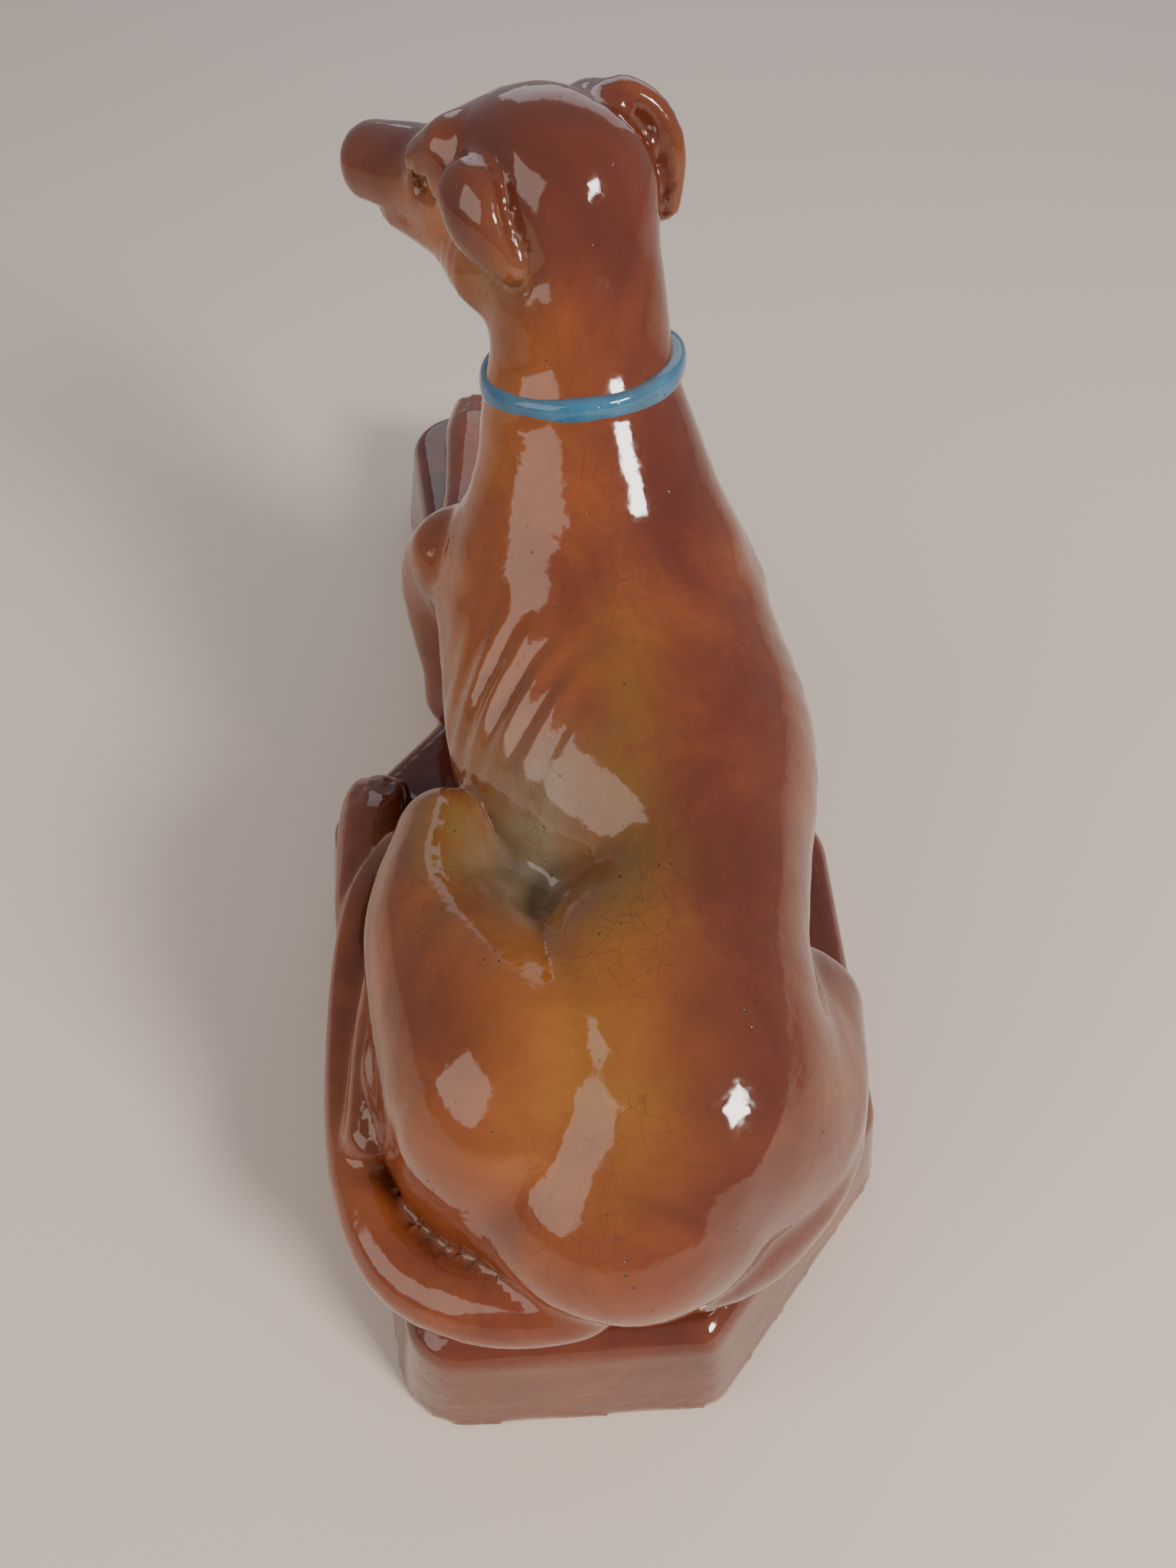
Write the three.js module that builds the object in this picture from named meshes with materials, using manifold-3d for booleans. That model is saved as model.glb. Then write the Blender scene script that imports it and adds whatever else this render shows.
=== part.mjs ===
import * as THREE from 'three';
import { mergeVertices } from 'three/addons/utils/BufferGeometryUtils.js';
import Module from 'manifold-3d';

// Recumbent greyhound on a low plinth with cut corners, one glazed casting. Millimetres, +Z up.
// Modelling frame: x towards the animal's right, y forwards from a datum line behind the rump,
// z up from the table. The finished solid is turned to face -Y and centred over its base.

// ---- driving dimensions ----
const BODY_FACET = 6.8;         // facet size of trunk, legs and tail
const HEAD_FACET = 4.4;         // facet size of head and upper neck
const PLINTH_HEIGHT = 36;
const PLINTH_DRAFT = 9.5;       // degrees, walls lean in towards the top
const RIM_ROUND = 6;            // rounding of the top edge
const PLINTH = {                // corners of the foot outline [x, y, corner radius]
  rearLeft: [-41.8, 54.4, 18], rearRight: [30.5, 59.3, 10], hipRight: [76.5, 115, 15],
  sideRight: [75, 205, 26], waistRight: [56, 236, 26], frontRight: [0, 431, 20],
  frontLeft: [-81.7, 431, 26], waistLeft: [-50, 256, 24], sideLeft: [-82, 210, 14],
};
const TOP = PLINTH_HEIGHT;

// trunk stations [x, y, z, half width, half depth]
const TRUNK = {
  rump: [6, 88, 66, 30, 27], pelvis: [12, 114, 75, 35, 34], croup: [23, 142, 80, 27, 34], loin: [22, 163, 82, 31, 37],
  lastRib: [13, 188, 84, 44, 42], ribs: [7, 211, 86, 45, 46], brisket: [2, 240, 87, 39, 46],
  breast: [-2, 266, 94, 24, 33],
};
// neck stations, from the chest to behind the skull
const NECK = {
  root: [2, 228, 110, 38, 34], base: [1, 237, 133, 29, 28], low: [-1, 242, 148, 24.5, 24],
  collar: [-1.5, 246, 160, 21, 21.5], high: [-3, 251, 176, 19.8, 21], nape: [-6, 256, 192, 18.5, 19],
};
const COLLAR = { centre: [-1.5, 246, 158.5], across: 21.6, along: 22.2, thick: 3, roll: 6, pitch: 6 };

// left hind leg, knee raised beside the flank
const LEFT_THIGH = { hip: [-13, 108, 72, 31, 34], mid: [-33, 141, 74, 18.5, 27], knee: [-33.5, 166, 79, 13.5, 17] };
const LEFT_HAM = { seat: [-6, 95, 58, 20, 22], under: [-26, 98, 54, 16, 18], back: [-38, 118, 54, 14, 17] };
const LEFT_SHANK = { knee: [-38, 166, 62, 11, 12], mid: [-45, 140, 53, 11, 12], hock: [-48, 106, 47, 10, 10] };
const LEFT_FOOT = { hock: [-48, 106, 46, 9, 9], shaft: [-58, 160, 44, 8.5, 8.5], ball: [-61, 200, 44, 10, 9], toes: [-61, 212, 42, 9, 7] };
// right hind leg, folded flat
const RIGHT_THIGH = { hip: [20, 106, 76, 30, 32], mid: [40, 110, 62, 21, 24], knee: [52, 134, 56, 12.5, 14] };
const RIGHT_SHANK = { knee: [53, 134, 55, 12, 13], mid: [47, 104, 54, 14, 14], hock: [32, 85, 52, 14, 14], heel: [14, 80, 50, 13, 13] };
// forelegs [x, y, z, r, r]
const LEFT_ARM = { blade: [-28, 238, 106, 14, 20], point: [-35.5, 248, 90, 13, 17], elbow: [-38, 243, 55, 9.5, 10] };
const LEFT_FORE = { elbow: [-38, 243, 52, 9.5, 10], mid: [-45, 300, 46, 8.5, 8.5], wrist: [-45, 352, 45, 8.5, 8], paw: [-44, 390, 45, 12, 10], toes: [-44, 409, 44, 11, 9] };
const RIGHT_ARM = { blade: [25, 234, 104, 12, 18], point: [28, 246, 90, 11, 16], elbow: [38, 240, 56, 9, 10] };
const RIGHT_FORE = { elbow: [38, 240, 52, 9.5, 10], mid: [22, 300, 46, 8.5, 8.5], wrist: [2, 350, 45, 8.5, 8], paw: [-12, 386, 45, 12, 10], toes: [-16, 405, 44, 11, 9] };

const TAIL = {
  root: [6, 88, 70, 13, 13], drop: [3, 76, 58, 12, 12], sit: [-6, 72, 49, 10.5, 10.5], turn: [-24, 72, 45, 9.5, 9.5],
  corner: [-41, 80, 43.5, 8.5, 8.5], side: [-52, 100, 43, 7.5, 7.5], along: [-58, 128, 44, 6.5, 6.5],
  rise: [-60, 155, 48, 6, 6], cross: [-58, 172, 52, 5.3, 5.3], tip: [-52, 184, 55, 4, 4],
};

// head: centre of the skull, heading to the animal's left, nose dipped
const HEAD = { centre: [-12, 262, 196.5], yaw: 50, pitch: 10, roll: 2 };
// head pieces in the head's own axes [forward, to the animal's right, up, half width, half depth]
const SKULL = { back: [-12, 0, -3, 17, 14.5], crown: [0, 0, 0, 18, 15], brow: [14, 0, 0, 15.5, 12], stop: [24, 0, -4, 11.5, 10.5] };
const MUZZLE = { root: [20, 0, -6, 11, 10.5], bridge: [38, 0, -5, 9.5, 9.5], nose: [54, 0, -4, 8.2, 8] };
const JAW = { hinge: [5, -5, -17, 15, 9], mid: [22, -2, -15, 11, 7], chin: [44, 0, -12, 6.5, 5] };
const BROW_LEFT = { inner: [14, -10, 7, 6, 5], outer: [22, -10, 3, 5, 5] };
const BROW_RIGHT = { inner: [14, 10, 7, 6, 5], outer: [22, 10, 3, 5, 5] };
const EAR_RIGHT = { root: [-3, 12, 8, 8, 5], fold: [-10, 19, 7, 10, 4.5], lobe: [-15, 22, -2, 10.5, 4.2], tip: [-18, 20, -14, 6, 3.8] };
const EAR_LEFT = { root: [2, -13, 7, 7, 5], fold: [-3, -20, 5, 9, 4.5], lobe: [-9, -22.5, -6, 9.5, 4.4], tip: [-18, -20.5, -19, 5, 4] };

// ---- vector helpers ----
const sub = (a, b) => [a[0] - b[0], a[1] - b[1], a[2] - b[2]];
const add = (a, b) => [a[0] + b[0], a[1] + b[1], a[2] + b[2]];
const mul = (a, s) => [a[0] * s, a[1] * s, a[2] * s];
const dot = (a, b) => a[0] * b[0] + a[1] * b[1] + a[2] * b[2];
const cross = (a, b) => [a[1] * b[2] - a[2] * b[1], a[2] * b[0] - a[0] * b[2], a[0] * b[1] - a[1] * b[0]];
const unit = (a) => mul(a, 1 / Math.hypot(...a));
const rad = (d) => (d * Math.PI) / 180;

// ---- chains: elliptical sections blended along a smooth line through stations ----
function catmull(p0, p1, p2, p3, t) {
  return p1.map((_, i) => 0.5 * (2 * p1[i] + (p2[i] - p0[i]) * t + (2 * p0[i] - 5 * p1[i] + 4 * p2[i] - p3[i]) * t * t
    + (3 * p1[i] - p0[i] - 3 * p2[i] + p3[i]) * t * t * t));
}
function chain(stations, side = [1, 0, 0], steps = 4) {
  const p = Array.isArray(stations) ? stations : Object.values(stations);
  const line = [];
  for (let i = 0; i + 1 < p.length; i++) {
    const a = p[Math.max(i - 1, 0)], d = p[Math.min(i + 2, p.length - 1)];
    for (let s = 0; s < steps; s++) line.push(catmull(a, p[i], p[i + 1], d, s / steps));
  }
  line.push(p[p.length - 1]);
  const out = [];
  for (let i = 0; i + 1 < line.length; i++) {
    const A = line[i].slice(0, 3), B = line[i + 1].slice(0, 3);
    const T = unit(sub(B, A));
    const S = unit(sub(side, mul(T, dot(side, T))));
    out.push({ A, L: Math.hypot(...sub(B, A)), T, S, U: cross(S, T), wa: line[i][3], ha: line[i][4], wb: line[i + 1][3], hb: line[i + 1][4] });
  }
  return out;
}
function segDistance(g, x, y, z) {
  const px = x - g.A[0], py = y - g.A[1], pz = z - g.A[2];
  const a0 = px * g.T[0] + py * g.T[1] + pz * g.T[2];
  const t = Math.min(1, Math.max(0, a0 / g.L));
  const a = a0 - t * g.L;
  const s = px * g.S[0] + py * g.S[1] + pz * g.S[2];
  const u = px * g.U[0] + py * g.U[1] + pz * g.U[2];
  const w = g.wa + (g.wb - g.wa) * t, h = g.ha + (g.hb - g.ha) * t, e = Math.min(w, h);
  const k0 = Math.sqrt((s / w) ** 2 + (u / h) ** 2 + (a / e) ** 2);
  const k1 = Math.sqrt((s / (w * w)) ** 2 + (u / (h * h)) ** 2 + (a / (e * e)) ** 2);
  return k1 > 1e-9 ? (k0 * (k0 - 1)) / k1 : -e;
}
const chainDistance = (c, x, y, z) => { let d = 1e9; for (const g of c) d = Math.min(d, segDistance(g, x, y, z)); return d; };
const smoothMin = (a, b, k) => { const h = Math.max(k - Math.abs(a - b), 0) / k; return Math.min(a, b) - h * h * k * 0.25; };

// head axes
const hy = rad(HEAD.yaw), hp = rad(HEAD.pitch), hr = rad(HEAD.roll);
const headF = [-Math.sin(hy) * Math.cos(hp), Math.cos(hy) * Math.cos(hp), -Math.sin(hp)];
const level = [Math.cos(hy), Math.sin(hy), 0];
const headR = add(mul(level, Math.cos(hr)), mul(cross(level, headF), Math.sin(hr)));
const headU = cross(headR, headF);
const toHead = (s) => [...add(HEAD.centre, add(add(mul(headF, s[0]), mul(headR, s[1])), mul(headU, s[2]))), s[3], s[4]];
const headChain = (o, side) => chain(Object.values(o).map(toHead), side);

// ---- body and head as blended chains: [chain, blend width] ----
const NECK_FORM = chain(NECK);
const BODY_FORMS = [
  [chain(TRUNK), 0], [NECK_FORM, 14],
  [chain(LEFT_THIGH), 7], [chain(LEFT_HAM), 10], [chain(RIGHT_THIGH), 12],
  [chain(LEFT_ARM, [0, 1, 0]), 10], [chain(RIGHT_ARM, [0, 1, 0]), 10],
  [chain(LEFT_SHANK), 6], [chain(RIGHT_SHANK), 8],
  [chain(LEFT_FOOT), 4], [chain(LEFT_FORE), 7], [chain(RIGHT_FORE), 7],
  [chain(TAIL), 5],
];
const HEAD_FORMS = [
  [NECK_FORM, 0], [headChain(SKULL, headR), 9], [headChain(JAW, headR), 6], [headChain(MUZZLE, headR), 5],
  [headChain(BROW_LEFT, headR), 4], [headChain(BROW_RIGHT, headR), 4],
  [headChain(EAR_RIGHT, headF), 2.5], [headChain(EAR_LEFT, headF), 2.5],
];
function blend(forms, x, y, z) {
  let d = 1e9;
  for (const [c, k] of forms) {
    const e = chainDistance(c, x, y, z);
    d = k > 0 ? smoothMin(d, e, k) : Math.min(d, e);
  }
  return d;
}
// height over the tilted plane of the collar
const overCollar = (x, y, z) => z - COLLAR.centre[2] - (x - COLLAR.centre[0]) * Math.tan(rad(COLLAR.roll)) + (y - COLLAR.centre[1]) * Math.tan(rad(COLLAR.pitch));
const bodyField = (x, y, z) => Math.max(blend(BODY_FORMS, x, y, z), overCollar(x, y, z) - 5);
const headField = (x, y, z) => Math.max(blend(HEAD_FORMS, x, y, z) - 0.5, -1 - overCollar(x, y, z));

// ---- surface extraction on a regular grid, one vertex per crossed cell ----
function surface(field, lo, hi, step) {
  const n = lo.map((v, i) => Math.ceil((hi[i] - v) / step) + 1);
  const at = (i, j, k) => (k * n[1] + j) * n[0] + i;
  const val = new Float64Array(n[0] * n[1] * n[2]);
  for (let k = 0; k < n[2]; k++) for (let j = 0; j < n[1]; j++) for (let i = 0; i < n[0]; i++)
    val[at(i, j, k)] = field(lo[0] + i * step, lo[1] + j * step, lo[2] + k * step) || 1e-6;
  // a grid square whose signs alternate would pinch the surface, so its nearer outside corner is filled
  const axes = [[1, 0, 0], [0, 1, 0], [0, 0, 1]];
  for (let again = true; again;) {
    again = false;
    for (let k = 0; k + 1 < n[2]; k++) for (let j = 0; j + 1 < n[1]; j++) for (let i = 0; i + 1 < n[0]; i++)
      for (let e = 0; e < 3; e++) {
        const a = axes[(e + 1) % 3], b = axes[(e + 2) % 3];
        const q = [at(i, j, k), at(i + a[0], j + a[1], k + a[2]), at(i + a[0] + b[0], j + a[1] + b[1], k + a[2] + b[2]), at(i + b[0], j + b[1], k + b[2])];
        const w = q.map((v) => val[v] < 0);
        if (w[0] === w[2] && w[1] === w[3] && w[0] !== w[1]) {
          const out = q.filter((_, m) => !w[m]);
          val[val[out[0]] < val[out[1]] ? out[0] : out[1]] = -0.02 * step;
          again = true;
        }
      }
  }
  const id = new Int32Array(val.length).fill(-1);
  const pos = [];
  for (let k = 0; k + 1 < n[2]; k++) for (let j = 0; j + 1 < n[1]; j++) for (let i = 0; i + 1 < n[0]; i++) {
    let m = 0, c = [0, 0, 0];
    for (let e = 0; e < 3; e++) for (let a = 0; a < 2; a++) for (let b = 0; b < 2; b++) {
      const o = [0, 0, 0]; o[(e + 1) % 3] = a; o[(e + 2) % 3] = b;
      const q = o.slice(); q[e] = 1;
      const v0 = val[at(i + o[0], j + o[1], k + o[2])], v1 = val[at(i + q[0], j + q[1], k + q[2])];
      if ((v0 < 0) !== (v1 < 0)) { const t = v0 / (v0 - v1); o[e] = t; c = add(c, o); m++; }
    }
    if (m) { id[at(i, j, k)] = pos.length; pos.push([lo[0] + (i + c[0] / m) * step, lo[1] + (j + c[1] / m) * step, lo[2] + (k + c[2] / m) * step]); }
  }
  // settle every vertex on the surface
  const eps = 0.05;
  for (const p of pos) for (let r = 0; r < 3; r++) {
    const d = field(...p);
    const g = [0, 1, 2].map((a) => { const q = p.slice(); q[a] += eps; const w = p.slice(); w[a] -= eps; return (field(...q) - field(...w)) / (2 * eps); });
    const gg = Math.max(dot(g, g), 0.2);
    const m = Math.max(-step * 0.35, Math.min(step * 0.35, d / Math.sqrt(gg)));
    const u = mul(g, -m / Math.sqrt(gg));
    p[0] += u[0]; p[1] += u[1]; p[2] += u[2];
  }
  const idx = [];
  const quad = (a, b, c, d, flip) => {
    const far = (p, q) => Math.hypot(...sub(pos[p], pos[q]));
    const t = far(a, c) <= far(b, d) ? [[a, b, c], [a, c, d]] : [[a, b, d], [b, c, d]];
    for (const f of t) idx.push(...(flip ? [f[0], f[2], f[1]] : f));
  };
  for (let k = 1; k + 1 < n[2]; k++) for (let j = 1; j + 1 < n[1]; j++) for (let i = 1; i + 1 < n[0]; i++) {
    const v = val[at(i, j, k)] < 0;
    if (v !== (val[at(i + 1, j, k)] < 0)) quad(id[at(i, j - 1, k - 1)], id[at(i, j, k - 1)], id[at(i, j, k)], id[at(i, j - 1, k)], !v);
    if (v !== (val[at(i, j + 1, k)] < 0)) quad(id[at(i - 1, j, k - 1)], id[at(i - 1, j, k)], id[at(i, j, k)], id[at(i, j, k - 1)], !v);
    if (v !== (val[at(i, j, k + 1)] < 0)) quad(id[at(i - 1, j - 1, k)], id[at(i, j - 1, k)], id[at(i, j, k)], id[at(i - 1, j, k)], !v);
  }
  const g = new THREE.BufferGeometry();
  g.setAttribute('position', new THREE.Float32BufferAttribute(pos.flat(), 3));
  g.setIndex(idx);
  return g;
}

// ---- plinth: rounded outline lifted through inset rings ----
function insetCorners(corners, inset) {
  return corners.map(([x, y, r], i) => {
    const p = corners[(i + corners.length - 1) % corners.length], q = corners[(i + 1) % corners.length];
    const a = unit([x - p[0], y - p[1], 0]), b = unit([q[0] - x, q[1] - y, 0]);
    const turn = a[0] * b[1] - a[1] * b[0], k = inset / (1 + dot(a, b));
    return [x - (a[1] + b[1]) * k, y + (a[0] + b[0]) * k, turn > 0 ? Math.max(r - inset, 3) : r + inset];
  });
}
function roundedOutline(corners, arcSteps) {
  const out = [];
  corners.forEach(([x, y, r], i) => {
    const p = corners[(i + corners.length - 1) % corners.length], q = corners[(i + 1) % corners.length];
    const a = unit([p[0] - x, p[1] - y, 0]), b = unit([q[0] - x, q[1] - y, 0]);
    const half = Math.acos(Math.max(-1, Math.min(1, dot(a, b)))) / 2;
    const cut = r / Math.tan(half), c = add([x, y, 0], mul(unit(add(a, b)), r / Math.sin(half)));
    const s = sub(add([x, y, 0], mul(a, cut)), c), e = sub(add([x, y, 0], mul(b, cut)), c);
    let a0 = Math.atan2(s[1], s[0]), a1 = Math.atan2(e[1], e[0]);
    while (a1 - a0 > Math.PI) a1 -= 2 * Math.PI;
    while (a1 - a0 < -Math.PI) a1 += 2 * Math.PI;
    for (let k = 0; k <= arcSteps; k++) {
      const t = a0 + ((a1 - a0) * k) / arcSteps;
      out.push([c[0] + r * Math.cos(t), c[1] + r * Math.sin(t)]);
    }
  });
  return out;
}
function plinth() {
  const draft = rad(PLINTH_DRAFT), wall = PLINTH_HEIGHT - RIM_ROUND;
  const levels = [[0, 0], [Math.tan(draft) * wall, wall]];
  for (let k = 1; k <= 3; k++) {
    const t = draft + (k / 3) * (Math.PI / 2 - draft);
    levels.push([levels[1][0] + RIM_ROUND * (Math.cos(draft) - Math.cos(t)), wall + RIM_ROUND * (Math.sin(t) - Math.sin(draft)) / (1 - Math.sin(draft))]);
  }
  const rings = levels.map(([inset]) => roundedOutline(insetCorners(Object.values(PLINTH), inset), 5));
  const pos = [], idx = [], n = rings[0].length;
  rings.forEach((ring, l) => ring.forEach((p) => pos.push(p[0], p[1], levels[l][1])));
  for (let l = 0; l + 1 < levels.length; l++) for (let i = 0; i < n; i++) {
    const a = l * n + i, b = l * n + ((i + 1) % n), c = a + n, d = b + n;
    idx.push(a, b, d, a, d, c);
  }
  const cap = (l, up) => {
    const pts = rings[l].map((p) => new THREE.Vector2(p[0], p[1]));
    for (const f of THREE.ShapeUtils.triangulateShape(pts, [])) { const t = f.map((v) => v + l * n); idx.push(...(up ? t : [t[0], t[2], t[1]])); }
  };
  cap(0, false); cap(levels.length - 1, true);
  const g = new THREE.BufferGeometry();
  g.setAttribute('position', new THREE.Float32BufferAttribute(pos, 3));
  g.setIndex(idx);
  return g;
}

// ---- collar ring swept round the neck ----
function collarRing({ centre, across, along, thick, roll, pitch }, around = 32, section = 8) {
  const pos = [], idx = [];
  for (let i = 0; i < around; i++) {
    const t = (i / around) * 2 * Math.PI, c = Math.cos(t), s = Math.sin(t);
    for (let j = 0; j < section; j++) {
      const a = (j / section) * 2 * Math.PI, r = thick * Math.cos(a);
      const x = (across + r) * c, y = (along + r) * s;
      pos.push(centre[0] + x, centre[1] + y, centre[2] + thick * Math.sin(a) + x * Math.tan(rad(roll)) - y * Math.tan(rad(pitch)));
      const i2 = (i + 1) % around, j2 = (j + 1) % section;
      idx.push(i * section + j, i2 * section + j, i2 * section + j2, i * section + j, i2 * section + j2, i * section + j2);
    }
  }
  const g = new THREE.BufferGeometry();
  g.setAttribute('position', new THREE.Float32BufferAttribute(pos, 3));
  g.setIndex(idx);
  return g;
}

// ---- joining ----
const wasm = await Module();
wasm.setup();
function solid(geometry) {
  const g = mergeVertices(geometry, 1e-4);
  g.deleteAttribute('normal'); g.deleteAttribute('uv');
  const m = new wasm.Mesh({ numProp: 3, vertProperties: new Float32Array(g.attributes.position.array), triVerts: new Uint32Array(g.index.array) });
  m.merge();
  return new wasm.Manifold(m);
}
function toGeometry(s) {
  const m = s.getMesh();
  const g = new THREE.BufferGeometry();
  g.setAttribute('position', new THREE.BufferAttribute(new Float32Array(m.vertProperties), 3));
  g.setIndex(new THREE.BufferAttribute(new Uint32Array(m.triVerts), 1));
  return g;
}
const carvedBody = surface(bodyField, [-100, 48, 20], [92, 440, 190], BODY_FACET);
const carvedHead = surface(headField, [-81, 203, 139], [50, 330, 235], HEAD_FACET);
const joined = solid(plinth()).add(solid(carvedBody)).add(solid(carvedHead)).add(solid(collarRing(COLLAR)));
const finished = toGeometry(joined);

finished.rotateZ(Math.PI);
finished.computeBoundingBox();
const bb = finished.boundingBox;
finished.translate(-(bb.min.x + bb.max.x) / 2, -(bb.min.y + bb.max.y) / 2, -bb.min.z);
finished.computeVertexNormals();

const group = new THREE.Group();
const mesh = new THREE.Mesh(finished, new THREE.MeshStandardMaterial({ color: 0x8a3d1c, roughness: 0.2, metalness: 0 }));
mesh.name = 'greyhound_figurine';
group.add(mesh);
export default group;
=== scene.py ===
import math

import bpy
import numpy as np
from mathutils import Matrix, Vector


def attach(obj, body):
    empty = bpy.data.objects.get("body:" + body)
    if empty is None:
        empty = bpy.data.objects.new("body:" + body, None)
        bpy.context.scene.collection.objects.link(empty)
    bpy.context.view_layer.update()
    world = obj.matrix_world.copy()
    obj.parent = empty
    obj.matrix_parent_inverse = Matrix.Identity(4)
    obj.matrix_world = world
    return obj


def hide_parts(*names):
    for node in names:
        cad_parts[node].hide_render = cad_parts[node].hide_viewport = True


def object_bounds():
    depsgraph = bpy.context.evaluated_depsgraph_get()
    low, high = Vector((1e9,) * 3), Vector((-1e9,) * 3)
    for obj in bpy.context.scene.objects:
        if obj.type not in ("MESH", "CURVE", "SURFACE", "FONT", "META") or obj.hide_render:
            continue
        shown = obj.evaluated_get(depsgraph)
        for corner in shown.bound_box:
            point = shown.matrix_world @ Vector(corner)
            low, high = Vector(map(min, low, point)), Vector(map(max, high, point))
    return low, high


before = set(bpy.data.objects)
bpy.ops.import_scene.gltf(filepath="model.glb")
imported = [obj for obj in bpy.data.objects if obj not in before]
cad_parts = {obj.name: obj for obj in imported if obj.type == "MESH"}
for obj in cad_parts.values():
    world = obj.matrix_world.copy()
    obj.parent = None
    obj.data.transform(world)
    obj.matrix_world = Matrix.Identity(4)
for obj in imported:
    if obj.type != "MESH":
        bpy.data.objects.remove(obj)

cad_box = [list(v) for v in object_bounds()]

# Recumbent greyhound, glazed earthenware. Sizes in millimetres, modelling frame:
# x to the dog's right, y from the rump towards the paws, z up.
STEP = 1.75
TOP, DRAFT, RIM = 36.0, math.radians(9.5), 6.0
PLINTH = [[-41.8, 54.4, 18], [30.5, 59.3, 10], [76.5, 115, 15], [75, 205, 26], [56, 236, 26], [0, 431, 20],
          [-81.7, 431, 26], [-50, 256, 24], [-82, 210, 14]]
TRUNK = [[6, 88, 66, 30, 27], [12, 114, 75, 35, 34], [23, 142, 80, 27, 34], [22, 163, 82, 31, 37], [13, 188, 84, 44, 42],
         [7, 211, 86, 45, 46], [2, 240, 87, 39, 46], [-2, 266, 94, 24, 33]]
NECK = [[2, 228, 110, 38, 34], [1, 237, 133, 29, 28], [-1, 242, 148, 24.5, 24], [-1.5, 246, 160, 21, 21.5],
        [-3, 251, 176, 19.8, 21], [-6, 256, 192, 18.5, 19]]
LEFT_THIGH = [[-13, 108, 72, 31, 34], [-33, 141, 74, 18.5, 27], [-33.5, 166, 79, 13.5, 17]]
FLANK = [[-24, 182, 62, 8, 12], [-19, 162, 71, 9, 12], [-15, 143, 80, 8, 11]]   # floor of the hollow between thigh and flank
LEFT_HAM = [[-6, 95, 58, 20, 22], [-26, 98, 54, 16, 18], [-38, 118, 54, 14, 17]]
LEFT_SHANK = [[-38, 166, 62, 11, 12], [-45, 140, 53, 11, 12], [-48, 106, 47, 10, 10]]
LEFT_FOOT = [[-48, 106, 46, 9, 9], [-58, 160, 44, 8.5, 8.5], [-61, 200, 44, 10, 9], [-61, 212, 42, 9, 7]]
RIGHT_THIGH = [[20, 106, 76, 30, 32], [40, 110, 62, 21, 24], [52, 134, 56, 12.5, 14]]
RIGHT_SHANK = [[53, 134, 55, 12, 13], [47, 104, 54, 14, 14], [32, 85, 52, 14, 14], [14, 80, 50, 13, 13]]
LEFT_ARM = [[-28, 238, 106, 14, 20], [-35.5, 248, 90, 13, 17], [-38, 243, 55, 9.5, 10]]
LEFT_FORE = [[-38, 243, 52, 9.5, 10], [-45, 300, 46, 8.5, 8.5], [-45, 352, 45, 8.5, 8], [-44, 390, 45, 12, 10], [-44, 409, 44, 11, 9]]
RIGHT_ARM = [[25, 234, 104, 12, 18], [28, 246, 90, 11, 16], [38, 240, 56, 9, 10]]
RIGHT_FORE = [[38, 240, 52, 9.5, 10], [22, 300, 46, 8.5, 8.5], [2, 350, 45, 8.5, 8], [-12, 386, 45, 12, 10], [-16, 405, 44, 11, 9]]
TAIL = [[6, 88, 70, 13, 13], [3, 76, 58, 12, 12], [-6, 72, 49, 10.5, 10.5], [-24, 72, 45, 9.5, 9.5], [-41, 80, 43.5, 8.5, 8.5],
        [-52, 100, 43, 7.5, 7.5], [-58, 128, 44, 6.5, 6.5], [-60, 155, 48, 6, 6], [-58, 172, 52, 5.3, 5.3], [-52, 184, 55, 4, 4]]
SKULL = [[-12, 0, -3, 17, 14.5], [0, 0, 0, 18, 15], [14, 0, 0, 15.5, 12], [24, 0, -4, 11.5, 10.5]]
MUZZLE = [[20, 0, -5.5, 11.5, 11], [38, 0, -4, 10.2, 10.2], [52.4, 0, -2.8, 9, 9]]
JAW = [[5, -5.5, -17.5, 16.5, 10.5], [22, -2, -15, 11, 7], [44, 0, -12, 6.5, 5]]
BROW_LEFT = [[14, -10, 7, 6, 5], [22, -10, 3, 5, 5]]
BROW_RIGHT = [[14, 10, 7, 6, 5], [22, 10, 3, 5, 5]]
EAR_RIGHT = [[-4, 10.5, 8, 9, 5], [-10, 17, 7, 11.5, 4.8], [-14.5, 19.6, -1.5, 11.5, 4.6], [-17, 18, -12, 7.5, 4]]
EAR_LEFT = [[1, -14, 4.5, 6.5, 5], [-2, -20.2, 2.6, 7.8, 5], [-5, -22.6, -3.5, 7.4, 4.8], [-10.5, -21.2, -12, 4.4, 4]]
CENTRE, YAW, PITCH, ROLL = np.array([-12, 262, 196.5]), math.radians(50), math.radians(10), math.radians(2)

F = np.array([-math.sin(YAW) * math.cos(PITCH), math.cos(YAW) * math.cos(PITCH), -math.sin(PITCH)])
LEVEL = np.array([math.cos(YAW), math.sin(YAW), 0])
R = LEVEL * math.cos(ROLL) + np.cross(LEVEL, F) * math.sin(ROLL)
U = np.cross(R, F)


def head(stations):
    return [[*(CENTRE + F * s[0] + R * s[1] + U * s[2]), s[3], s[4]] for s in stations]


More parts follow.
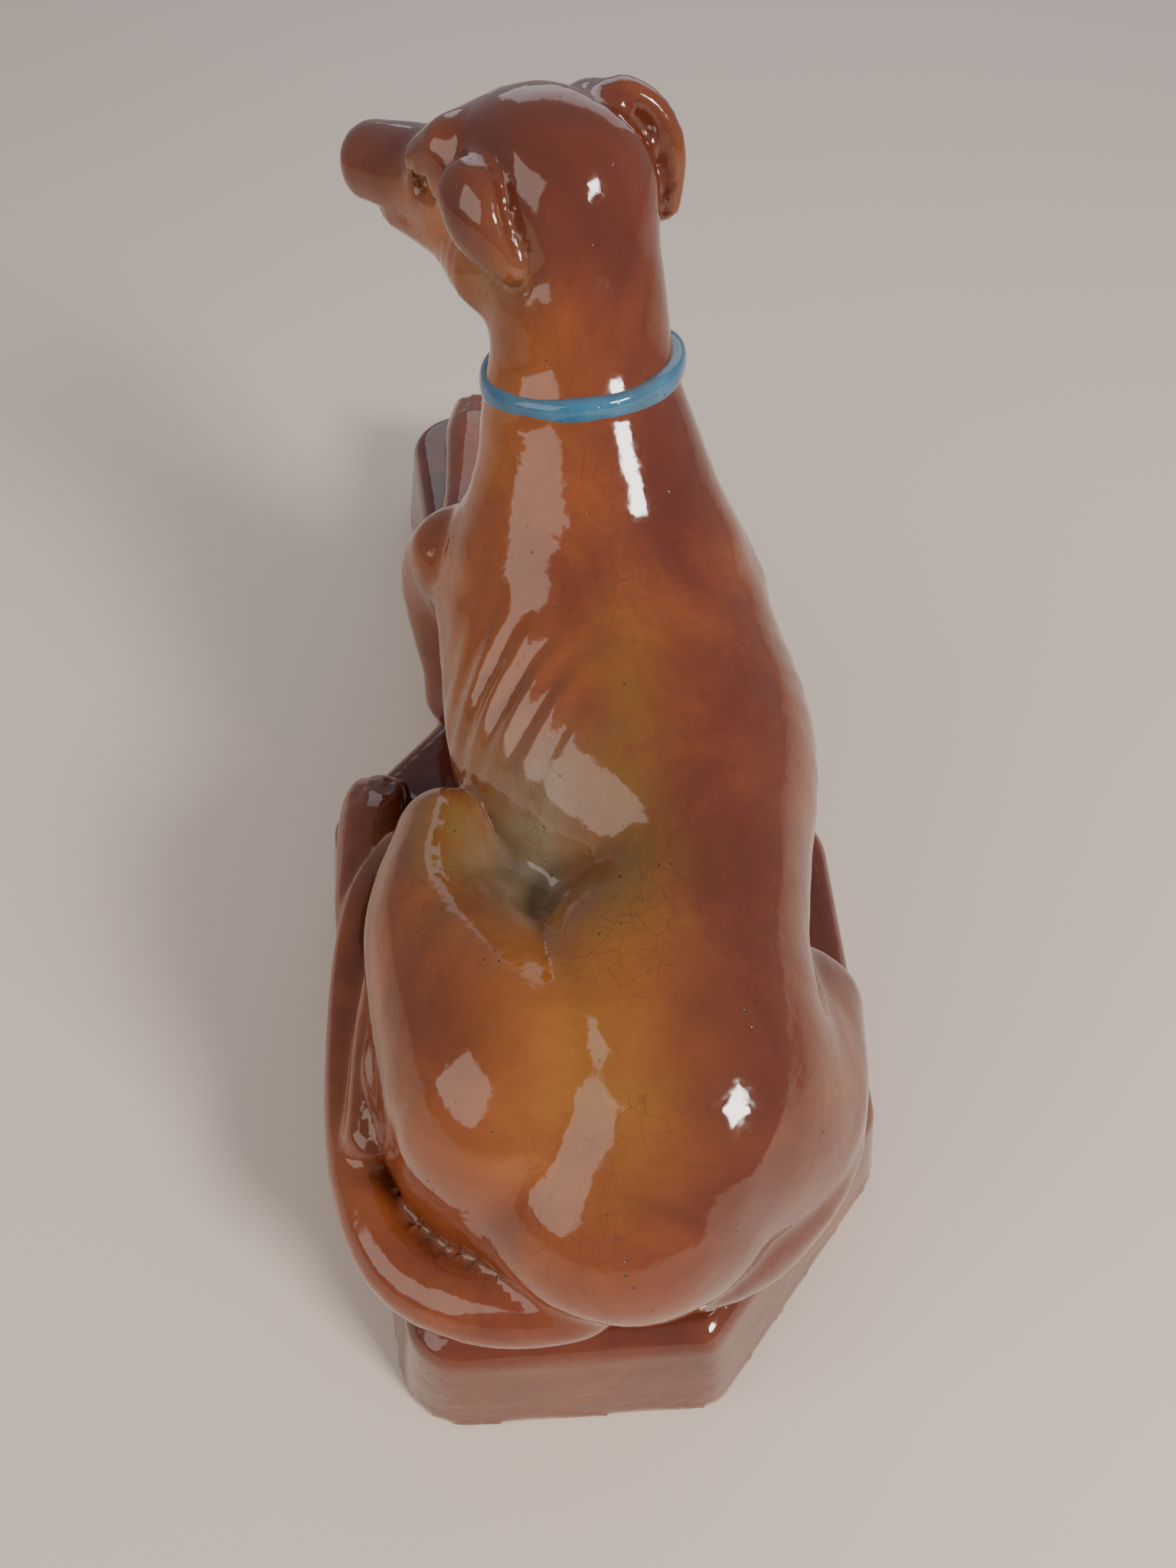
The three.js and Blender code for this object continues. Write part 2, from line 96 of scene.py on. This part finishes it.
def chain(stations, side=(1, 0, 0), steps=4):
    p = np.array(stations, float)
    line = []
    for i in range(len(p) - 1):
        a, b, c, d = p[max(i - 1, 0)], p[i], p[i + 1], p[min(i + 2, len(p) - 1)]
        for s in range(steps):
            t = s / steps
            line.append(0.5 * (2 * b + (c - a) * t + (2 * a - 5 * b + 4 * c - d) * t * t + (3 * b - a - 3 * c + d) * t ** 3))
    line.append(p[-1])
    out = []
    for a, b in zip(line, line[1:]):
        T = b[:3] - a[:3]
        L = np.linalg.norm(T)
        T = T / L
        S = np.array(side, float) - T * np.dot(side, T)
        S /= np.linalg.norm(S)
        out.append((a[:3], b[:3], L, T, S, np.cross(S, T), a[3], a[4], b[3], b[4]))
    return out


# (segments, blend width, depth and width of the groove along the join)
BODY = [(chain(TRUNK), 0, 0, 1), (chain(NECK), 14, 0, 1), (chain(LEFT_THIGH, steps=9), 7, 1.7, 3.4), (chain(FLANK), 9, 0, 1), (chain(LEFT_HAM), 10, 0, 1),
        (chain(RIGHT_THIGH, steps=9), 12, 0.5, 3), (chain(LEFT_ARM, (0, 1, 0)), 10, 0.9, 3), (chain(RIGHT_ARM, (0, 1, 0)), 10, 0.5, 3),
        (chain(LEFT_SHANK), 5, 1.4, 2.2), (chain(RIGHT_SHANK), 8, 0.9, 2.5), (chain(LEFT_FOOT), 3, 1.4, 2.2),
        (chain(LEFT_FORE), 7, 0, 1), (chain(RIGHT_FORE), 7, 0, 1), (chain(TAIL), 3, 1.1, 2.7)]
HEAD = [(chain(NECK), 0, 0, 1), (chain(head(SKULL), R), 9, 0, 1), (chain(head(JAW), R), 6, 0, 1), (chain(head(MUZZLE), R), 5, 0, 1),
        (chain(head(BROW_LEFT), R), 4, 0, 1), (chain(head(BROW_RIGHT), R), 4, 0, 1),
        (chain(head(EAR_RIGHT), F), 2.2, 1.1, 2.1), (chain(head(EAR_LEFT), F), 1.8, 1.5, 2.1)]
FAR = 60.0


def chain_distance(segs, P):
    d = np.full(len(P), FAR)
    for A, B, L, T, S, V, wa, ha, wb, hb in segs:
        m = max(wa, ha, wb, hb) + 17
        lo, hi = np.minimum(A, B) - m, np.maximum(A, B) + m
        k = np.nonzero((P[:, 2] < hi[2]) & (P[:, 2] > lo[2]) & (P[:, 1] < hi[1]) & (P[:, 1] > lo[1]) & (P[:, 0] < hi[0]) & (P[:, 0] > lo[0]))[0]
        if not len(k):
            continue
        q = P[k] - A
        a0 = q @ T
        t = np.clip(a0 / L, 0, 1)
        a, s, u = a0 - t * L, q @ S, q @ V
        w, h = wa + (wb - wa) * t, ha + (hb - ha) * t
        e = np.minimum(w, h)
        k0 = np.sqrt((s / w) ** 2 + (u / h) ** 2 + (a / e) ** 2)
        k1 = np.sqrt((s / w ** 2) ** 2 + (u / h ** 2) ** 2 + (a / e ** 2) ** 2)
        d[k] = np.minimum(d[k], np.where(k1 > 1e-9, k0 * (k0 - 1) / np.maximum(k1, 1e-9), -e))
    return d


def smooth_min(a, b, k):
    h = np.maximum(k - np.abs(a - b), 0) / k
    return np.minimum(a, b) - h * h * k * 0.25


def blend(forms, P):
    d = np.full(len(P), FAR)
    for segs, k, deep, wide in forms:
        e = chain_distance(segs, P)
        groove = deep * np.exp(-((d - e) / wide) ** 2) * (np.minimum(d, e) < 12) if deep else 0
        d = (smooth_min(d, e, k) if k else np.minimum(d, e)) + groove
    return d


def outline():
    """Foot outline of the plinth, its corners rounded."""
    out = []
    n = len(PLINTH)
    for i, (x, y, r) in enumerate(PLINTH):
        c0 = np.array([x, y], float)
        a = np.array(PLINTH[i - 1][:2]) - c0
        b = np.array(PLINTH[(i + 1) % n][:2]) - c0
        a, b = a / np.linalg.norm(a), b / np.linalg.norm(b)
        half = math.acos(np.clip(a @ b, -1, 1)) / 2
        cut = r / math.tan(half)
        mid = (a + b) / np.linalg.norm(a + b)
        c = c0 + mid * r / math.sin(half)
        s, e = c0 + a * cut - c, c0 + b * cut - c
        a0, a1 = math.atan2(s[1], s[0]), math.atan2(e[1], e[0])
        while a1 - a0 > math.pi: a1 -= 2 * math.pi
        while a1 - a0 < -math.pi: a1 += 2 * math.pi
        for k in range(9):
            t = a0 + (a1 - a0) * k / 8
            out.append([c[0] + r * math.cos(t), c[1] + r * math.sin(t)])
    return np.array(out)


RING = outline()


def plinth(P):
    xy = P[:, :2]
    d2 = np.full(len(P), 1e9)
    inside = np.zeros(len(P), bool)
    for a, b in zip(RING, np.roll(RING, -1, axis=0)):
        e = b - a
        if e @ e < 1e-9:
            continue
        w = xy - a
        t = np.clip((w @ e) / (e @ e), 0, 1)
        d2 = np.minimum(d2, ((w - t[:, None] * e) ** 2).sum(1))
        cross = (a[1] > xy[:, 1]) != (b[1] > xy[:, 1])
        if abs(e[1]) > 1e-9:
            inside ^= cross & (xy[:, 0] < e[0] * (xy[:, 1] - a[1]) / e[1] + a[0])
    sd = np.where(inside, -1, 1) * np.sqrt(d2)
    z = P[:, 2]
    wall = TOP - RIM
    s = np.clip((z - wall) / RIM * (1 - math.sin(DRAFT)) + math.sin(DRAFT), 0, 1)
    inset = np.where(z < wall, math.tan(DRAFT) * np.maximum(z, 0), math.tan(DRAFT) * wall + RIM * (math.cos(DRAFT) - np.sqrt(1 - s * s)))
    return np.maximum(np.maximum(sd + inset, z - TOP), -z)


def bump(x, w):
    return np.exp(-(x / w) ** 2)


def field(P):
    x, y, z = P.T
    over = z - 158.5 - (x + 1.5) * math.tan(math.radians(6)) + (y - 246) * math.tan(math.radians(6))
    body = blend(BODY, P)
    # slanting ribs on both flanks
    left = x < 5
    s = np.where(left, (0.74 * x - 0.67 * y) / 8.4, (y + 0.42 * (z - 86)) / 8.4)
    reach = np.where(left, bump(0.67 * (x + 19) + 0.74 * (y - 182), 10) * bump(0.74 * (x + 19) - 0.67 * (y - 182), 19) * np.clip((z - 84) / 10, 0, 1),
                     0.35 * bump(y - 196, 20) * bump(z - 88, 24) * np.clip((x - 34) / 12, 0, 1))
    body += 1.05 * np.cos(2 * math.pi * s) * reach
    # toes and the grooves between them
    for cx, cy, w in ((-44, 404, 4.2), (-14, 400, 4.2), (-61, 209, 3.6)):
        near = (np.abs(y - cy) < 26) & (np.abs(x - cx) < 20) & (z < 64)
        if near.any():
            g = bump(x[near] - cx + w, 1.2) + bump(x[near] - cx, 1.2) * 0.8 + bump(x[near] - cx - w, 1.2)
            body[near] += 1.5 * g * np.clip((y[near] - cy + 8) / 6, 0, 1)
    body = np.maximum(body, over - 5)
    q = P - CENTRE
    f, r, u = q @ F, q @ R, q @ U
    hd = blend(HEAD, P) - 0.5
    near = (np.abs(f - 30) < 45) & (np.abs(r) < 30) & (np.abs(u) < 34)
    fn, rn, un, hn = f[near], np.abs(r[near]), u[near], hd[near]
    # mouth line, nostrils, sunk eyes with a raised ball
    hn = hn + 1.3 * bump(un + 10.2 + 0.02 * (fn - 40), 1.0) * np.clip((fn - 26) / 6, 0, 1)
    hn = hn + 1.6 * np.exp(-((fn - 60) ** 2 + (rn - 3.4) ** 2 + (un + 2.5) ** 2) / 4.2)
    socket = np.sqrt(((fn - 21) / 5.4) ** 2 + ((rn - 12.6) / 4.6) ** 2 + ((un + 0.4) / 3.5) ** 2) - 1
    hn = np.maximum(hn, -socket * 3.6)
    ball = np.sqrt((fn - 20.6) ** 2 + (rn - 9.4) ** 2 + (un + 0.4) ** 2) - 3.3
    hn = smooth_min(hn, ball, 0.6)
    hd[near] = hn
    hd = np.maximum(hd, -1 - over)
    return smooth_min(np.minimum(body, hd), plinth(P), 3.0)


def nets(lo, hi, h):
    """Closed quad mesh of the field's zero surface."""
    n = [int(math.ceil((b - a) / h)) + 1 for a, b in zip(lo, hi)]
    g = np.stack(np.meshgrid(*[lo[i] + h * np.arange(n[i]) for i in range(3)], indexing="ij"), -1).reshape(-1, 3)
    v = field(g).reshape(n)
    v[v == 0] = 1e-6
    for _ in range(12):
        bad = 0
        for e in range(3):
            w = np.moveaxis(v, e, 0)
            a, b, c, d = w[:, :-1, :-1], w[:, 1:, :-1], w[:, 1:, 1:], w[:, :-1, 1:]
            m = ((a < 0) == (c < 0)) & ((b < 0) == (d < 0)) & ((a < 0) != (b < 0))
            bad += int(m.sum())
            for part in (a, b, c, d):
                part[m & (part >= 0)] = -0.02 * h
        if not bad:
            break
    acc, cnt = np.zeros([k - 1 for k in n] + [3]), np.zeros([k - 1 for k in n])
    quads = []
    cross = []
    for e in range(3):
        w = np.moveaxis(v, e, 0)
        x = (w[:-1] < 0) != (w[1:] < 0)
        t = np.where(x, w[:-1] / np.where(x, w[:-1] - w[1:], 1), 0)
        cross.append((x, w[:-1] < 0))
        o1, o2 = [i for i in range(3) if i != e]
        A, C = np.moveaxis(acc, e, 0), np.moveaxis(cnt, e, 0)
        for a in (0, 1):
            for b in (0, 1):
                xs = x[:, a:a + n[o1] - 1, b:b + n[o2] - 1]
                C += xs
                A[..., e] += t[:, a:a + n[o1] - 1, b:b + n[o2] - 1]
                A[..., o1] += xs * a
                A[..., o2] += xs * b
    ids = np.full(cnt.shape, -1)
    has = cnt > 0
    ids[has] = np.arange(has.sum())
    pos = np.array(lo) + h * (np.argwhere(has) + acc[has] / cnt[has][:, None])
    for e in range(3):
        x, low = cross[e]
        k = np.argwhere(x)
        k = k[(k[:, 1] > 0) & (k[:, 2] > 0) & (k[:, 1] < x.shape[1] - 1) & (k[:, 2] < x.shape[2] - 1)]
        I = np.moveaxis(ids, e, 0)
        q = np.stack([I[k[:, 0], k[:, 1] - 1, k[:, 2] - 1], I[k[:, 0], k[:, 1], k[:, 2] - 1],
                      I[k[:, 0], k[:, 1], k[:, 2]], I[k[:, 0], k[:, 1] - 1, k[:, 2]]], 1)
        up = low[k[:, 0], k[:, 1], k[:, 2]]
        flip = ~up if e != 1 else up
        q[flip] = q[flip][:, ::-1]
        quads.append(q)
    return pos, np.concatenate(quads)


def relax(pos, quads, times, amount):
    a, b = quads.ravel(), np.roll(quads, -1, axis=1).ravel()
    n = len(pos)
    deg = np.bincount(a, minlength=n) + np.bincount(b, minlength=n)
    for _ in range(times):
        s = np.stack([np.bincount(a, pos[b, i], n) + np.bincount(b, pos[a, i], n) for i in range(3)], 1)
        pos = pos + amount * (s / np.maximum(deg, 1)[:, None] - pos)
    return pos


def settle(pos, times):
    for _ in range(times):
        d = field(pos)
        g = np.stack([(field(pos + o) - field(pos - o)) / 0.3 for o in np.eye(3) * 0.15], 1)
        gg = np.maximum((g * g).sum(1), 0.25)
        pos = pos - g * np.clip(d / gg, -0.8, 0.8)[:, None]
    return pos


def one_body(pos, quads):
    """Keeps the largest connected shell."""
    a, b = quads.ravel(), np.roll(quads, -1, axis=1).ravel()
    label = np.arange(len(pos))
    while True:
        new = label.copy()
        np.minimum.at(new, a, label[b])
        np.minimum.at(new, b, label[a])
        new = new[new]
        if (new == label).all():
            break
        label = new
    keep = label == np.bincount(label).argmax()
    index = np.cumsum(keep) - 1
    return pos[keep], index[quads[keep[quads[:, 0]]]]


pos, quads = one_body(*nets([-87.0, 49.0, -2.625], [82.0, 437.0, 219.0], STEP))
pos = settle(relax(pos, quads, 2, 0.5), 1)
for _ in range(7):                                # fairs the surface without shrinking it
    pos = relax(relax(pos, quads, 1, 0.5), quads, 1, -0.52)
# the large rounds of trunk and thighs are fairer still; ribs, paws, plinth and head keep their edges
ribbed = bump(0.67 * (pos[:, 0] + 19) + 0.74 * (pos[:, 1] - 182), 14) * bump(0.74 * (pos[:, 0] + 19) - 0.67 * (pos[:, 1] - 182), 24) * (pos[:, 0] < 5)
broad = (np.clip((pos[:, 2] - 56) / 8, 0, 1) * np.clip((148 - pos[:, 2]) / 6, 0, 1) * np.clip((285 - pos[:, 1]) / 8, 0, 1) * np.clip(1 - 1.6 * ribbed, 0, 1))[:, None]
for _ in range(22):
    pos = relax(relax(pos, quads, 1, 0.6 * broad), quads, 1, -0.61 * broad)


def to_object(p):
    """Modelling frame in mm to the part's own frame in metres."""
    q = np.stack([-p[:, 0] - 2.192, 243.205 - p[:, 1], p[:, 2]], 1) / 1000
    q[np.abs(q[:, 2]) < 0.0006, 2] = 0
    lo, hi = np.array(cad_box[0]) + 2e-5, np.array(cad_box[1]) - 2e-5
    lo[2] = 0
    return np.clip(q, lo, hi)


def make(name, verts, faces, material):
    me = bpy.data.meshes.new(name)
    me.from_pydata([tuple(v) for v in verts.tolist()], [], faces.tolist())
    me.update()
    me.polygons.foreach_set("use_smooth", [True] * len(me.polygons))
    me.materials.append(material)
    ob = bpy.data.objects.new(name, me)
    bpy.context.scene.collection.objects.link(ob)
    return ob


def layer(ob, name, values):
    ob.data.attributes.new(name, "FLOAT", "POINT").data.foreach_set("value", np.asarray(values, np.float32))


# ---- glaze -------------------------------------------------------------------------------------
def node(nt, kind, **inputs):
    n = nt.nodes.new(kind)
    for k, v in inputs.items():
        if hasattr(n, k):
            setattr(n, k, v)
        else:
            n.inputs[k.replace("_", " ")].default_value = v
    return n


def glaze(name, collar=False):
    m = bpy.data.materials.new(name)
    m.use_nodes = True
    nt = m.node_tree
    nt.nodes.clear()
    L = nt.links.new
    out = nt.nodes.new("ShaderNodeOutputMaterial")
    bs = nt.nodes.new("ShaderNodeBsdfPrincipled")
    L(bs.outputs[0], out.inputs[0])
    tc = nt.nodes.new("ShaderNodeTexCoord")

    def noise(scale, detail=4, rough=0.55, distortion=0.0):
        n = node(nt, "ShaderNodeTexNoise", Scale=scale, Detail=detail, Roughness=rough, Distortion=distortion)
        L(tc.outputs["Object"], n.inputs["Vector"])
        return n.outputs["Fac"]

    def ramp(src, *stops):
        n = nt.nodes.new("ShaderNodeValToRGB")
        e = n.color_ramp.elements
        while len(e) < len(stops):
            e.new(0.5)
        for k, (p, c) in enumerate(stops):
            e[k].position = p
            e[k].color = (c, c, c, 1) if isinstance(c, (int, float)) else (*c, 1)
        L(src, n.inputs[0])
        return n.outputs[0]

    def mix(fac, a, b, kind="MIX"):
        n = nt.nodes.new("ShaderNodeMix")
        n.data_type = "RGBA"
        n.blend_type = kind
        for i, s in ((0, fac), (6, a), (7, b)):
            if isinstance(s, (int, float)):
                n.inputs[i].default_value = s
            elif isinstance(s, tuple):
                n.inputs[i].default_value = (*s, 1)
            else:
                L(s, n.inputs[i])
        return n.outputs[2]

    def math_(op, a, b):
        n = nt.nodes.new("ShaderNodeMath")
        n.operation = op
        for i, s in enumerate((a, b)):
            if isinstance(s, (int, float)):
                n.inputs[i].default_value = s
            else:
                L(s, n.inputs[i])
        return n.outputs[0]

    def attr(n_):
        n = nt.nodes.new("ShaderNodeAttribute")
        n.attribute_name = n_
        return n.outputs["Fac"]

    streak, cloud, fine = noise(26, 5, 0.6, 0.6), noise(70, 5, 0.6, 0.3), noise(420, 3)
    if collar:
        col = ramp(cloud, (0.3, (0.02, 0.085, 0.17)), (0.55, (0.035, 0.15, 0.27)), (0.78, (0.07, 0.22, 0.35)))
        col = mix(attr("worn"), col, (0.10, 0.13, 0.15))
    else:
        col = ramp(streak, (0.26, (0.10, 0.021, 0.011)), (0.45, (0.17, 0.038, 0.016)), (0.6, (0.235, 0.058, 0.018)), (0.78, (0.31, 0.09, 0.024)))
        warm = math_("MULTIPLY", attr("amber"), ramp(cloud, (0.25, 0.45), (0.65, 1.0)))
        col = mix(warm, col, (0.42, 0.135, 0.018))
        col = mix(math_("MULTIPLY", attr("olive"), ramp(cloud, (0.3, 0.25), (0.62, 1.0))), col, (0.20, 0.115, 0.016))
        # darker brown on the plinth, the dog's right side, crown and neck, plus painted shade in deep creases and
        # hollows
        col = mix(math_("MULTIPLY", attr("darker_and_crease_shade"), ramp(streak, (0.25, 1.0), (0.75, 0.55))), col, (0.098, 0.023, 0.016))
        col = mix(math_("MULTIPLY", attr("pool"), ramp(cloud, (0.28, 0.5), (0.6, 1.0))), col, (0.25, 0.19, 0.115))
        # painted highlight: lighter brown laid along convex ridges and the plinth rim
        col = mix(math_("MULTIPLY", attr("ridge_highlight"), 0.8), col, (0.40, 0.14, 0.035))
    # darker specks and small pinholes where the glaze crawled
    vo = node(nt, "ShaderNodeTexVoronoi", Scale=330.0)
    L(tc.outputs["Object"], vo.inputs["Vector"])
    pin = ramp(vo.outputs["Distance"], (0.0, 1.0), (0.10, 0.9), (0.16, 0.0))
    pin = math_("MULTIPLY", pin, ramp(cloud, (0.56, 0.0), (0.66, 0.9)))
    col = mix(pin, col, (0.03, 0.012, 0.008))
    # fine crazing
    cr = node(nt, "ShaderNodeTexVoronoi", Scale=260.0)
    cr.feature = "DISTANCE_TO_EDGE"
    L(tc.outputs["Object"], cr.inputs["Vector"])
    craze = math_("MULTIPLY", ramp(cr.outputs["Distance"], (0.0, 1.0), (0.035, 0.0)), ramp(noise(38, 3), (0.4, 0.0), (0.62, 0.4)))
    col = mix(craze, col, (0.06, 0.025, 0.015))
    L(col, bs.inputs["Base Color"])
    L(math_("ADD", ramp(fine, (0.3, 0.05), (0.7, 0.13)), math_("MULTIPLY", pin, 0.35)), bs.inputs["Roughness"])
    bs.inputs["IOR"].default_value = 1.5
    bs.inputs["Coat Weight"].default_value = 0.2
    bs.inputs["Coat Roughness"].default_value = 0.03
    b1 = nt.nodes.new("ShaderNodeBump")
    b1.inputs["Strength"].default_value = 0.35
    b1.inputs["Distance"].default_value = 0.0011
    L(noise(95, 3, 0.5, 0.2), b1.inputs["Height"])
    b2 = nt.nodes.new("ShaderNodeBump")
    b2.inputs["Strength"].default_value = 0.5
    b2.inputs["Distance"].default_value = 0.0004
    b2.invert = True
    L(pin, b2.inputs["Height"])
    L(b1.outputs[0], b2.inputs["Normal"])
    L(b2.outputs[0], bs.inputs["Normal"])
    return m


body = make("greyhound_cast", to_object(pos), quads, glaze("brown_glaze"))
x, y, z = pos.T
me = body.data
normals = np.zeros(len(pos) * 3, np.float32)
me.vertices.foreach_get("normal", normals)
nrm = normals.reshape(-1, 3) * np.array([-1, -1, 1])
a, b = quads.ravel(), np.roll(quads, -1, axis=1).ravel()
deg = np.bincount(a, minlength=len(pos)) + np.bincount(b, minlength=len(pos))
flat = relax(pos, quads, 5, 0.6) - pos
bend = -(flat * nrm).sum(1)                       # above 0 on ridges, below 0 in hollows
for _ in range(4):
    bend = 0.5 * bend + 0.5 * (np.bincount(a, bend[b], len(pos)) + np.bincount(b, bend[a], len(pos))) / np.maximum(deg, 1)
q = pos - CENTRE
f, r, u = q @ F, q @ R, q @ U


def spot(cx, cy, cz, rx, ry, rz):
    return np.exp(-(((x - cx) / rx) ** 2 + ((y - cy) / ry) ** 2 + ((z - cz) / rz) ** 2))


on_dog = np.clip((z - 35) / 5, 0, 1)
# painted highlight on convex ridges, stronger on the plinth rim
layer(body, "ridge_highlight", np.clip((bend - 0.22) / 0.9, 0, 1) * np.where(z < 37, 0.75, 0.6))
layer(body, "pool", np.clip(1.1 * spot(-14, 153, 92, 13, 22, 26) + 0.9 * spot(-40, 178, 52, 14, 18, 14) + 0.7 * np.exp(-((f + 4) ** 2 + (np.abs(r) - 15) ** 2 + (u + 12) ** 2) / 90)
      + np.clip((-bend - 0.3) / 1.2, 0, 0.55) * on_dog, 0, 1))
layer(body, "amber", np.clip(0.85 * spot(-16, 240, 150, 16, 24, 26) + 0.8 * np.exp(-((f - 12) / 26) ** 2 - ((r + 14) / 14) ** 2 - ((u + 8) / 12) ** 2) + 0.15 * spot(-38, 120, 84, 26, 34, 26) + 0.5 * spot(-26, 200, 100, 22, 34, 30) + 0.9 * spot(-2, 106, 108, 17, 28, 20), 0, 1))
layer(body, "olive", np.clip(0.75 * spot(-31, 156, 99, 13, 24, 12) + 0.75 * spot(6, 142, 116, 14, 26, 18) + 0.35 * spot(8, 185, 124, 8, 30, 14) + 0.5 * spot(8, 96, 96, 22, 22, 16), 0, 1))
cheek = np.exp(-((f - 10) / 24) ** 2 - ((r + 15) / 13) ** 2 - ((u + 9) / 13) ** 2)
# darker zones on the plinth, right side, crown and neck; the last term is painted shade in deep creases and hollows
layer(body, "darker_and_crease_shade", np.clip(0.55 * np.clip((x - 12) / 30, 0, 1) + 0.6 * np.clip((x - 8) / 18, 0, 1) * np.clip((165 - y) / 20, 0, 1) + 0.95 * (1 - on_dog) + 0.9 * np.clip((z - 180) / 14, 0, 1) * (1 - cheek)
      + 0.85 * np.clip((x + 1) / 13, 0, 1) * np.clip((z - 128) / 14, 0, 1) + 0.8 * np.clip((-bend - 0.5) / 1.4, 0, 1), 0, 0.92))

# collar: a raised band of the same casting under blue glaze
rings, sect = 112, 20
t = np.repeat(np.arange(rings) / rings * 2 * math.pi, sect)
s = np.tile(np.arange(sect) / sect * 2 * math.pi, rings)
wob = 0.22 * np.sin(3 * t + 1) + 0.14 * np.sin(7 * t)
thick = 3.0
rad = (thick - 0.25 + wob * 0.5) * np.sign(np.cos(s)) * np.abs(np.cos(s)) ** 0.8
cx, cy = (21.6 + rad) * np.cos(t), (22.2 + rad) * np.sin(t)
cz = (thick + 0.5) * np.sign(np.sin(s)) * np.abs(np.sin(s)) ** 0.85 + wob
cp = np.stack([-1.5 + cx, 246 + cy, 158.5 + cz + cx * math.tan(math.radians(6)) - cy * math.tan(math.radians(6))], 1)
i, j = np.meshgrid(np.arange(rings), np.arange(sect), indexing="ij")
i, j = i.ravel(), j.ravel()
i2, j2 = (i + 1) % rings, (j + 1) % sect
cq = np.stack([i * sect + j, i2 * sect + j, i2 * sect + j2, i * sect + j2], 1)
collar = make("collar_band", to_object(cp), cq, glaze("blue_glaze", True))
layer(collar, "worn", np.clip(np.abs(np.sin(s)) ** 6 * 0.7 + 0.25 * (np.sin(5 * t) > 0.7), 0, 1))

for piece in (body, collar):
    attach(piece, "root")
    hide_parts("greyhound_figurine")

# ---- floor, light, camera ------------------------------------------------------------------------
fm = bpy.data.materials.new("pale_table")
fm.use_nodes = True
fb = fm.node_tree.nodes["Principled BSDF"]
fb.inputs["Base Color"].default_value = (0.80, 0.66, 0.56, 1)
fb.inputs["Roughness"].default_value = 0.5
floor = make("floor", np.array([[-4, -4, 0], [4, -4, 0], [4, 4, 0], [-4, 4, 0.0]]), np.array([[0, 1, 2, 3]]), fm)


def softbox(name, at, size, power, colour):
    d = bpy.data.lights.new(name, "AREA")
    d.shape, d.size, d.size_y, d.energy, d.color = "RECTANGLE", size[0], size[1], power, colour
    o = bpy.data.objects.new(name, d)
    o.location = at
    o.rotation_euler = (Vector((0, 0, 0.06)) - Vector(at)).to_track_quat("-Z", "Y").to_euler()
    bpy.context.scene.collection.objects.link(o)


softbox("key", (-0.75, 0.75, 0.75), (0.3, 0.3), 15, (1.0, 0.95, 0.88))
softbox("fill", (1.1, 0.7, 0.8), (1.3, 1.0), 9, (1.0, 0.93, 0.84))
softbox("rim", (-0.2, -1.2, 0.8), (1.4, 0.7), 3, (0.93, 0.93, 1.0))
w = bpy.data.worlds.new("room")
w.use_nodes = True
w.node_tree.nodes["Background"].inputs[0].default_value = (0.9, 0.93, 1.0, 1)
w.node_tree.nodes["Background"].inputs[1].default_value = 0.33
bpy.context.scene.world = w

cam = bpy.data.cameras.new("camera")
cam.sensor_width = 36
cam.sensor_height = 27
cam.sensor_fit = "AUTO"
cam.lens = 36 * 1484 / 2048
co = bpy.data.objects.new("camera", cam)
co.location = (-0.00219, 0.2432, 0.300)
co.rotation_euler = Vector((0, -math.cos(math.radians(50)), -math.sin(math.radians(50)))).to_track_quat("-Z", "Y").to_euler()
cam.clip_start, cam.clip_end = 0.01, 50
bpy.context.scene.collection.objects.link(co)
bpy.context.scene.camera = co
